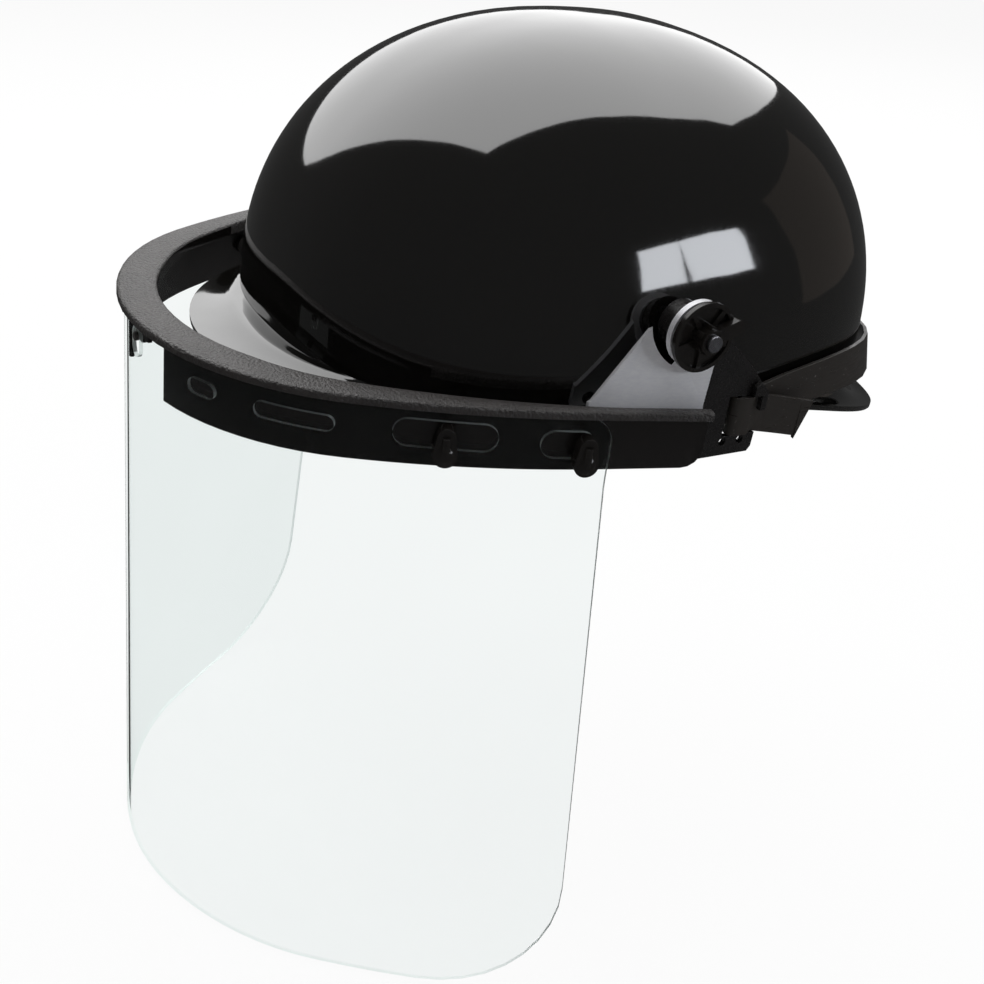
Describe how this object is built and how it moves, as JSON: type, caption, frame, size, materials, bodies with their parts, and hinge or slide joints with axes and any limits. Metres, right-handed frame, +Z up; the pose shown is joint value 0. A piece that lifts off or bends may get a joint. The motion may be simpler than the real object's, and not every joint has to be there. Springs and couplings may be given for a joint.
{
  "type": "protective hat with face shield",
  "caption": "Peaked protective hat with a lifting clear face shield on side arms, turn toggles, a rear strap and a ratchet headband.",
  "frame": {"origin": "middle of the headband, at the middle of its height, where the wearer's head sits", "axes": "+Z up, -Y to the front, +X to the wearer's left"},
  "size_m": [0.2876, 0.3304, 0.3648],
  "materials": {
    "shell": "high gloss",
    "frame": "grained matte",
    "window": "clear polycarbonate, faint blue-green edges",
    "gloss_trim": "gloss",
    "strap": "satin, dusty",
    "steel": "zinc plated",
    "band": "satin",
    "pad": "terry over foam",
    "web": "woven webbing"
  },
  "bodies": {
    "hat": {"shell": "shell", "headband": "band", "brow_pad": "pad", "crown_strap_a": "web", "crown_strap_b": "web", "suspension_keys": "band", "strap_bracket_left": "frame", "strap_bracket_right": "frame", "pivot_bolt_left": "steel", "pivot_bolt_right": "steel", "pivot_washer_left": "steel", "pivot_washer_right": "steel", "rear_strap": "strap", "ratchet_housing": "band", "ratchet_cover": "band"},
    "visor": {"visor_frame": "frame", "window": "window", "front_stud": "frame", "side_arm_left": "gloss_trim", "side_arm_right": "gloss_trim", "arm_screws": "steel"},
    "toggle_lf": {"toggle_left_front": "gloss_trim"},
    "toggle_lr": {"toggle_left_rear": "gloss_trim"},
    "toggle_rf": {"toggle_right_front": "gloss_trim"},
    "toggle_rr": {"toggle_right_rear": "gloss_trim"},
    "knob_l": {"pivot_knob_left": "gloss_trim"},
    "knob_r": {"pivot_knob_right": "gloss_trim"},
    "tail_l": {"nape_tail_left": "band"},
    "tail_r": {"nape_tail_right": "band"},
    "ratchet": {"ratchet_pinion": "steel", "ratchet_knob": "gloss_trim"}
  },
  "joints": [
    {"name": "visor_lift", "type": "hinge", "parent": "hat", "child": "visor", "pos_m": [0, -0.022, 0.045], "axis": [-1, 0, 0], "range_deg": [0, 90]},
    {"name": "toggle_lf_turn", "type": "hinge", "parent": "visor", "child": "toggle_lf", "pos_m": [0.0984, -0.10557, 0.0075], "axis": [-0.9008, 0.4342, 0], "range_deg": [0, 90]},
    {"name": "toggle_lr_turn", "type": "hinge", "parent": "visor", "child": "toggle_lr", "pos_m": [0.11669, -0.06089, 0.0064], "axis": [-0.9535, 0.3013, 0], "range_deg": [0, 90]},
    {"name": "toggle_rf_turn", "type": "hinge", "parent": "visor", "child": "toggle_rf", "pos_m": [-0.0984, -0.10557, 0.0075], "axis": [-0.9008, -0.4342, 0], "range_deg": [0, 90]},
    {"name": "toggle_rr_turn", "type": "hinge", "parent": "visor", "child": "toggle_rr", "pos_m": [-0.11669, -0.06089, 0.0064], "axis": [-0.9535, -0.3013, 0], "range_deg": [0, 90]},
    {"name": "knob_l_turn", "type": "hinge", "parent": "hat", "child": "knob_l", "pos_m": [0.12, -0.022, 0.045], "axis": [1, 0, 0], "continuous": true},
    {"name": "knob_r_turn", "type": "hinge", "parent": "hat", "child": "knob_r", "pos_m": [-0.12, -0.022, 0.045], "axis": [-1, 0, 0], "continuous": true},
    {"name": "ratchet_turn", "type": "hinge", "parent": "hat", "child": "ratchet", "pos_m": [0, 0.0978, 0], "axis": [0, 1, 0], "range_deg": [-160, 160]},
    {"name": "tail_l_slide", "type": "hinge", "parent": "hat", "child": "tail_l", "pos_m": [0, 0.02, 0], "axis": [0, 0, 1], "range_deg": [-10.5, 10.5]},
    {"name": "tail_r_slide", "type": "hinge", "parent": "hat", "child": "tail_r", "pos_m": [0, 0.02, 0], "axis": [0, 0, 1], "range_deg": [-10.5, 10.5]}
  ],
  "couplings": [
    {"joint": "tail_l_slide", "follows": "ratchet_turn", "ratio": 0.063452},
    {"joint": "tail_r_slide", "follows": "ratchet_turn", "ratio": -0.061881}
  ]
}
